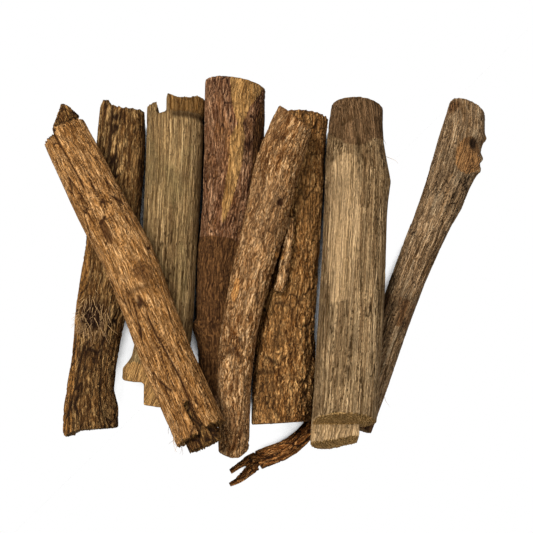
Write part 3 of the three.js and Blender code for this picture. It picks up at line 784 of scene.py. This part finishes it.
fibre_wood = fibre_finish("fibre_wood", "4A2E14", "B08A58")


def fibres_on(obj, name, **values):
    """Grows loose fibres on the frayed parts of a finished skin, as a piece of their own."""
    threads = bpy.data.objects.new(name, obj.data.copy())
    bpy.context.scene.collection.objects.link(threads)
    grow(threads, fibre_tree, Finish=fibre_wood, **values)
    shown(threads, "heartwood")


fibres_on(
    skin.obj,
    "torn_branch_fibres",
    Per_Square_Centimetre=16.0,
    Length=9.0,
    Thickness=0.5,
    Rise=0.4,
    Spread=0.5,
    Bend=2.4,
    Seed=5,
)


# ---------------------------------------------------------------------------------------------------
# The peeled stick: a straight stick whose bark has gone, so that its fine fibres show, grey from the
# weather. A scrap of bark is left at its head, and its foot broke off in two steps.

line = Growth("peeled_stick")
skin = Skin("peeled_stick_wood", "peeled_stick", line)
skin.ragged("head", 2.2 * MM, 3.5 * MM, seed=2)
skin.spur("head", 98, 12, 4 * MM)
skin.spur("head", 30, 10, 2.5 * MM)
scrap = skin.patch((-0.1, -20, 96), (0.075, -20, 96), blur=3)
ledge = skin.patch((0.075, -10, 92), (0.093, -10, 92), blur=4)
skin.swell(scrap, 1.5 * MM)
skin.swell(ledge, -1.0 * MM)
skin.finish(stain=scrap, hollow=0.75 * ledge, bare=fade(0.86, 0.9, skin.at["share"]))
peeled_wood = wood_finish(
    "peeled_wood",
    "5A4324 7A5E3D 8E7147 9E8056 B8996A",
    crevice_shade="3A2814",
    bare="7A5630 C09458",
    stain="54340F 926C3C",
    cut="7A5830 AC8854",
    blotch="6F6440", blotch_cover=0.35, blotch_strength=0.4, streak_width=0.9, streak_length=80.0,
    waviness=0.3, ridge_dark=0.3, line_dark=0.4, seed=2.0,
)
bare_values = {
    "Plate_Gap": 0.02,
    "Plate_Depth": 0.0,
    "Plate_Lift": 0.15,
    "Plate_Length": 80.0,
    "Ridge_Width": 2.4,
    "Ridge_Length": 70.0,
    "Ridge_Depth": 0.45,
    "Split_Depth": 0.6,
    "Lump_Depth": 0.5,
    "Grit_Depth": 0.1,
    "Waviness": 0.5,
}
grow(skin.obj, relief_tree, Seed=2.0, Finish=peeled_wood, **bare_values)
shown(skin.obj, "peeled_wood", "peeled_stick")


# ---------------------------------------------------------------------------------------------------
# The burl stick: thin purple-brown bark that has flaked away in places to tan wood. Lower down it has
# a burl of granular bark, and below that it is thinner. It lies on the ground near the middle.

line = Growth("burl_stick", bend=5)
skin = Skin("burl_stick_bark", "burl_stick", line)
skin.swell(skin.near(0.09, 135, 7 * MM, 18), 1.3 * MM)
skin.swell(skin.near(0.09, 135, 2.5 * MM, 7), -1.2 * MM)
flaked = np.maximum(
    skin.patch((-0.1, -10, 110), (0.03, 30, 104), (0.1, 58, 94), (0.17, 74, 80)),
    skin.patch((0.16, 70, 82), (0.2, 68, 94), (0.3, 74, 98), (0.4, 84, 104), (0.46, 94, 98)),
)
granular = skin.patch((0.5, 60, 200), (0.58, 40, 220), (0.8, 40, 220), (0.96, 60, 200), blur=20)
skin.swell(skin.near(0.49, 84, 8 * MM, 16), 1.0 * MM)
skin.swell(skin.patch((0.74, 130, 215), (0.82, 125, 220), (0.94, 130, 215), blur=25), 5.5 * MM)
skin.swell(skin.near(0.8, 120, 7 * MM, 22), 2.5 * MM)
# The stain mark darkens the right side from 0.04 to 0.6 of the length, and tints the granular bark.
skin.finish(
    bare=flaked,
    stain=np.maximum(
        skin.patch((0.04, -60, 20), (0.14, -60, 44), (0.3, -60, 50), (0.6, -60, 56), blur=12),
        granular,
    ),
    granular=np.clip(granular + skin.near(0.49, 84, 8 * MM, 16), 0, 1),
)
purple_bark = wood_finish(
    "purple_bark",
    "4B2C15 68442B 7C563A 926A4A B88E69",
    crevice_shade="241208",
    bare="795429 B08650",
    stain="3A2410 6E4A28",
    cut="604022 94704A",
    blotch="7A5228", blotch_cover=0.35, streak_width=1.2, streak_length=14.0, seed=3.0,
)
grow(
    skin.obj, relief_tree, Plate_Width=7.0, Plate_Length=30.0, Plate_Gap=0.4, Ridge_Width=3.0,
    Ridge_Length=26.0, Seed=3.0, Finish=purple_bark,
)
shown(skin.obj, "purple_bark", "burl_stick")


# ---------------------------------------------------------------------------------------------------
# The rough bark stick: thick golden-brown bark with deep furrows, mostly under the bent stick.

line = Growth("rough_bark_stick")
skin = Skin("rough_bark_stick_bark", "rough_bark_stick", line)
skin.ragged("head", 1.2 * MM, 5 * MM, seed=4)
across = skin.patch((0.834, 104, 160), (0.843, 104, 160), blur=16)
skin.swell(across, -1.6 * MM)
skin.finish(hollow=0.8 * across)
golden_bark = wood_finish(
    "golden_bark",
    "47280C 6C461F 885E32 A27645 CA9B5F",
    crevice_shade="1C0E05",
    bare="774E26 AE8048",
    stain="3F250F 613F1C",
    cut="614122 996F40",
    blotch="8A6236", blotch_cover=0.4, streak_width=1.5, streak_length=10.0, waviness=1.0,
    gap_dark=0.65, seed=4.0,
)
grow(
    skin.obj, relief_tree, Plate_Width=7.5, Plate_Length=34.0, Plate_Gap=0.45, Plate_Depth=1.5,
    Plate_Lift=1.4, Ridge_Width=3.6, Ridge_Length=14.0, Ridge_Depth=1.2, Waviness=3.0, Seed=4.0,
    Finish=golden_bark,
)
shown(skin.obj, "golden_bark", "rough_bark_stick")


# ---------------------------------------------------------------------------------------------------
# The notched log: the biggest piece, bare wood gone grey in the weather. Its foot was sawn nearly half
# way through and the rest split off, which left a tongue. The foot lies on the leaning stick.

line = Growth("notched_log", foot_trim=0.2)
skin = Skin("notched_log_wood", "notched_log", line)
skin.ragged("foot", 2.0 * MM, 3 * MM, seed=5)
tongue = fade(0.925, 0.945, skin.at["share"])
pale = skin.patch((0.18, 100, 140), (0.3, 88, 150), (0.5, 84, 146), (0.62, 100, 130), blur=26)
knot = skin.near(0.19, 144, 6 * MM, 13)
skin.swell(knot, 1.6 * MM)
skin.swell(skin.near(0.19, 144, 2.2 * MM, 5), -1.4 * MM)
skin.finish(
    bare=np.clip(tongue + pale, 0, 1),
    stain=skin.patch((-0.2, -200, 200), (0.06, -200, 200), (0.13, 60, 130), (0.16, 80, 100), blur=25),
    hollow=0.7 * skin.near(0.19, 144, 3 * MM, 7),
    fray=skin.near(0.12, 16, 7 * MM, 14),
)
grey_wood = wood_finish(
    "grey_wood",
    "573F26 765C3D 8C6F4C A0845D BC9D74",
    crevice_shade="33230F",
    bare="866A46 BC9C72",
    stain="452F19 7C5E40",
    cut="64441C B9935B",
    blotch="5F4C34", blotch_cover=0.4, streak_width=1.0, streak_length=80.0, waviness=0.4,
    ridge_dark=0.3, line_dark=0.4, seed=5.0,
)
grow(skin.obj, relief_tree, Seed=5.0, Finish=grey_wood, **bare_values)
shown(skin.obj, "grey_wood", "notched_log")
hairs = {"Length": 9.0, "Thickness": 0.4, "Rise": 0.6, "Spread": 0.5, "Bend": 4.0}
fibres_on(skin.obj, "notched_log_hairs", Per_Square_Centimetre=2.5, Seed=3, **hairs)


# ---------------------------------------------------------------------------------------------------
# The leaning stick: a slim grey-brown branch. A fibrous knot bulges near its head, and its foot passes
# under the notched log.

line = Growth("leaning_stick", bend=5)
skin = Skin("leaning_stick_bark", "leaning_stick", line)
knot = skin.near(0.165, 62, 17 * MM, 44)
eye = skin.near(0.128, 54, 4.5 * MM, 15)
skin.swell(knot, 1.4 * MM)
for share, side in ((0.1, 15), (0.15, 5), (0.19, 20), (0.17, 40)):
    skin.swell(skin.near(share, side, 3 * MM, 10), 2.6 * MM)
skin.swell(eye, -4 * MM)
skin.swell(skin.near(0.685, 65, 2 * MM, 9), 1.6 * MM)
band = skin.patch((0.61, 0, 180), (0.7, 0, 180), blur=30)
# The stain mark darkens the foot from 0.94 of the length on, where it passes under the notched log: painted
# shade. It also darkens a band round the upper half from 0.61 to 0.7 of the length, and a patch on the upper
# left of the head.
skin.finish(
    stain=np.clip(0.48 * band + skin.between(0.94, 1.1, 0.02) + 0.7 * skin.near(0.03, 131, 9 * MM, 30), 0, 1),
    bare=fade(0.3, 0.7, knot),
    hollow=np.clip(1.3 * eye, 0, 0.9),
    fray=skin.near(0.85, 20, 14 * MM, 14),
)
grey_brown_bark = wood_finish(
    "grey_brown_bark",
    "563D21 765A3B 876A4A 987B5A AF9572",
    crevice_shade="20140A",
    bare="4E3016 9A7044",
    stain="3A2412 7A5634",
    cut="573F23 876842",
    blotch="5A4A36", blotch_cover=0.35, streak_width=1.2, streak_length=50.0, seed=6.0,
)
grow(
    skin.obj, relief_tree, Plate_Width=6.0, Plate_Length=40.0, Plate_Gap=0.2, Ridge_Width=2.8,
    Ridge_Depth=0.6, Seed=6.0, Finish=grey_brown_bark,
)
shown(skin.obj, "grey_brown_bark", "leaning_stick")
fibres_on(skin.obj, "leaning_stick_hairs", Per_Square_Centimetre=2.0, Seed=4, **hairs)


# ---------------------------------------------------------------------------------------------------
# The split log: two slabs of thick orange-tan bark that have parted along a crack, round a broken core
# that sticks out at both ends. It lies over the stubbed stick and the peeled stick.

line = Growth("split_log_core", bend=3)
skin = Skin("split_log_core_wood", "split_log_core", line)
skin.ragged("head", 1.3 * MM, 2.6 * MM, seed=7)
skin.ragged("foot", 3 * MM, 4 * MM, seed=8)
skin.finish(cut=0.4 * skin.cut)
heartwood = wood_finish(
    "heartwood",
    "301A08 4A2E14 66441F 795932 916B38",
    crevice_shade="1E1006",
    bare="5F3D1C 886032",
    stain="331D0A 4F3114",
    cut="41270F 916B38",
    seed=7.0,
)
grow(skin.obj, relief_tree, Seed=7.0, Finish=heartwood, Ridge_Depth=0.9, Plate_Depth=0.4)
shown(skin.obj, "heartwood", "split_log_core")

orange_bark = wood_finish(
    "orange_bark",
    "613C16 8C6132 A17342 B48652 CDA06C",
    crevice_shade="2E1808",
    bare="875B2D C28F54",
    stain="563618 78542F",
    cut="4A3014 876332",
    blotch="7A5024", blotch_cover=0.4, blotch_size=14.0, blotch_strength=0.45, streak_width=1.2,
    streak_length=9.0, waviness=0.4, seed=8.0,
)
parting = [(share, 122 - 115 * (share - 0.62)) for share in np.arange(0.52, 0.88, 0.006)]
fill = [(line.spot(share, side, 17.6 * MM), 2.7 * MM) for share, side in parting]
skin = Skin("split_log_bark", "split_log_bark_left split_log_bark_right", line, grid=1.0 * MM, joints=fill)
skin.ragged("head", 4 * MM, 3.6 * MM, seed=20)
skin.ragged("foot", 3.5 * MM, 4 * MM, seed=30)
top = skin.crack([(0.0, 112), (0.13, 110), (0.26, 108), (0.3, 108)], 0.75 * MM, 3 * MM)
main = skin.crack([(0.59, 88), (0.65, 98), (0.7, 96), (0.76, 88), (0.82, 81), (1.1, 76)], 0.75 * MM, 3 * MM)
edge = skin.crack([(0.6, 40), (0.72, 52)], 0.6 * MM, 1.6 * MM)
scar = skin.near(0.4, 106, 12 * MM, 10)
grains = fade(0.3, 0.6, skin.near(0.535, 68, 11 * MM, 26))
seam = skin.patch((0.566, 60, 130), (0.578, 60, 130), blur=14)
skin.swell(scar, -1.0 * MM)
skin.swell(seam, -1.0 * MM)
skin.finish(
    hollow=np.clip(top + main + 0.8 * edge + 0.6 * seam + 0.4 * scar, 0, 0.95),
    granular=grains,
    stain=np.clip(fade(0.3, 0.6, scar) + 0.6 * grains, 0, 1),
    fray=skin.patch((0.9, 125, 190), (1.0, 125, 190)),
)
grow(
    skin.obj, relief_tree, Plate_Width=9.0, Plate_Length=60.0, Plate_Gap=0.35, Plate_Depth=0.7,
    Plate_Lift=0.3, Ridge_Width=3.0, Ridge_Length=40.0, Ridge_Depth=0.35, Grit_Size=1.5,
    Grit_Depth=0.35, Waviness=0.8, Seed=8.0, Finish=orange_bark,
)
shown(skin.obj, "orange_bark", "split_log_bark_left", "split_log_bark_right")
fibres_on(skin.obj, "split_log_hairs", Per_Square_Centimetre=4.0, Seed=6, **hairs)


# ---------------------------------------------------------------------------------------------------
# The bent stick: a crooked branch of wavy pinkish-tan bark, lying on the burl stick and the rough bark
# stick. A side branch has torn away from it at the fork.

line = Growth("bent_stick", bend=5)
branch_line = Growth("bent_stick_side_branch", bend=3)
skin = Skin("bent_stick_bark", "bent_stick bent_stick_side_branch", line, branch_line)
hole = skin.near(0.285, 56, 2.6 * MM, 9)
skin.swell(skin.near(0.285, 56, 6 * MM, 18), 0.8 * MM)
skin.swell(hole, -3.5 * MM)
orange = skin.near(0.545, 127, 10 * MM, 14)
torn = skin.patch((0.3, 0, 40), (0.36, -20, 36), (0.5, -30, 30), (0.56, -30, 10))
skin.finish(hollow=np.clip(1.4 * hole, 0, 0.95), bare=fade(0.3, 0.6, orange), stain=0.8 * torn)
tan_bark = wood_finish(
    "tan_bark",
    "4E2C0D 734D29 8F673E A98154 C7A073",
    crevice_shade="2A1608",
    bare="8F5829 C18E51",
    stain="634422 9C794C",
    cut="5F4224 8F6B3E",
    blotch="7A5A3A", blotch_cover=0.35, streak_width=1.5, streak_length=12.0, waviness=1.2,
    gap_dark=0.65, seed=9.0,
)
grow(
    skin.obj, relief_tree, Plate_Width=6.0, Plate_Length=60.0, Plate_Gap=0.18, Plate_Depth=0.8,
    Ridge_Width=3.4, Ridge_Length=18.0, Ridge_Depth=1.0, Waviness=3.2, Seed=9.0, Finish=tan_bark,
)
shown(skin.obj, "tan_bark", "bent_stick", "bent_stick_side_branch")


# ---------------------------------------------------------------------------------------------------
# The forked root: a small reddish-brown root lying under the foot of the notched log, with two fingers.

root_bark = wood_finish(
    "root_bark",
    "4E290C 6C3F19 814E22 996837 BB8751",
    crevice_shade="1C0E05",
    bare="70431D B27A43",
    stain="3D220D 5F3B18",
    cut="5F3918 92602F",
    streak_width=1.1, streak_length=9.0, waviness=1.2, seed=11.0,
)
root_parts = "root_stem root_long_finger root_short_finger"
lines = [Growth(part, bend=3) for part in root_parts.split()]
stem, *fingers = lines
starts = [finger.spot(share, 0, 0) for finger in fingers for share in (0, 0.1)]
fork = [((stem.spot(1, 0, 0) + start) / 2, 3.8 * MM) for start in starts]
skin = Skin("forked_root_bark", root_parts, *lines, grid=0.6 * MM, joints=fork)
skin.finish()
grow(
    skin.obj, relief_tree, Plate_Width=4.0, Plate_Length=14.0, Plate_Gap=0.4, Plate_Depth=0.5,
    Ridge_Width=2.2, Ridge_Length=12.0, Ridge_Depth=0.6, Lump_Size=8.0, Seed=11.0, Finish=root_bark,
)
shown(skin.obj, "root_bark", *root_parts.split())


# ---------------------------------------------------------------------------------------------------
# Where the bundle lies, the light on it and the view of it: a pale sheet that glows white to the camera, with
# shade painted on it close to the sticks, a large soft light from the upper left, and a camera nearly
# straight above.

reach = 30.0
floor_mesh = bpy.data.meshes.new("floor")
corners = [(-reach, -reach, 0), (reach, -reach, 0), (reach, reach, 0), (-reach, reach, 0)]
floor_mesh.from_pydata(corners, [], [(0, 1, 2, 3)])
floor = bpy.data.objects.new("floor", floor_mesh)
floor.location.z = -0.0002
bpy.context.scene.collection.objects.link(floor)
paper, tree = new_material("paper")
sheet = put(tree, "ShaderNodeBsdfDiffuse", {"Color": (0.4, 0.4, 0.4, 1)}).outputs[0]
# To the camera the floor glows white, darkened by painted shade where ambient occlusion finds the sticks
# close: in the gaps between them and round their edges. Light that bounces off the floor meets a mid-grey
# sheet.
glow_after_painted_shade = put(tree, "ShaderNodeAmbientOcclusion", {"Distance": 0.05}, samples=32).outputs["AO"]
glow_after_painted_shade = spread_over(tree, glow_after_painted_shade, 0.1, 0.25)
painted_floor_glow = put(tree, "ShaderNodeEmission", {"Color": (1, 1, 1, 1), "Strength": glow_after_painted_shade}).outputs[0]
seen = put(tree, "ShaderNodeLightPath").outputs["Is Camera Ray"]
both = put(tree, "ShaderNodeMixShader", {0: seen, 1: sheet, 2: painted_floor_glow}).outputs[0]
put(tree, "ShaderNodeOutputMaterial", {"Surface": both})
floor_mesh.materials.append(paper)

TARGET = Vector((-0.0026, 0.0088, 0.02))
DISTANCE = 1.0068
ELEVATION = math.radians(78)
camera_data = bpy.data.cameras.new("camera")
camera_data.lens = 85
camera_data.sensor_width = 36
camera = bpy.data.objects.new("camera", camera_data)
camera.location = TARGET + DISTANCE * Vector((0, -math.cos(ELEVATION), math.sin(ELEVATION)))
camera.rotation_euler = (math.radians(90) - ELEVATION, 0, 0)
bpy.context.scene.collection.objects.link(camera)
bpy.context.scene.camera = camera


def soft_light(name, place, size, power):
    """A round soft light that faces the bundle."""
    data = bpy.data.lights.new(name, "AREA")
    data.shape = "DISK"
    data.size = size
    data.energy = power
    lamp = bpy.data.objects.new(name, data)
    lamp.location = place
    lamp.rotation_euler = (TARGET - Vector(place)).to_track_quat("-Z", "Y").to_euler()
    bpy.context.scene.collection.objects.link(lamp)


soft_light("key", (-0.5, 0.3, 1.3), 0.6, 34)
soft_light("fill", (0.35, -1.0, 0.9), 0.8, 9)
world = bpy.data.worlds.new("world")
world.use_nodes = True
world.node_tree.nodes["Background"].inputs["Color"].default_value = (1, 1, 1, 1)
world.node_tree.nodes["Background"].inputs["Strength"].default_value = 0.6
bpy.context.scene.world = world
bpy.context.scene.view_settings.view_transform = "Standard"
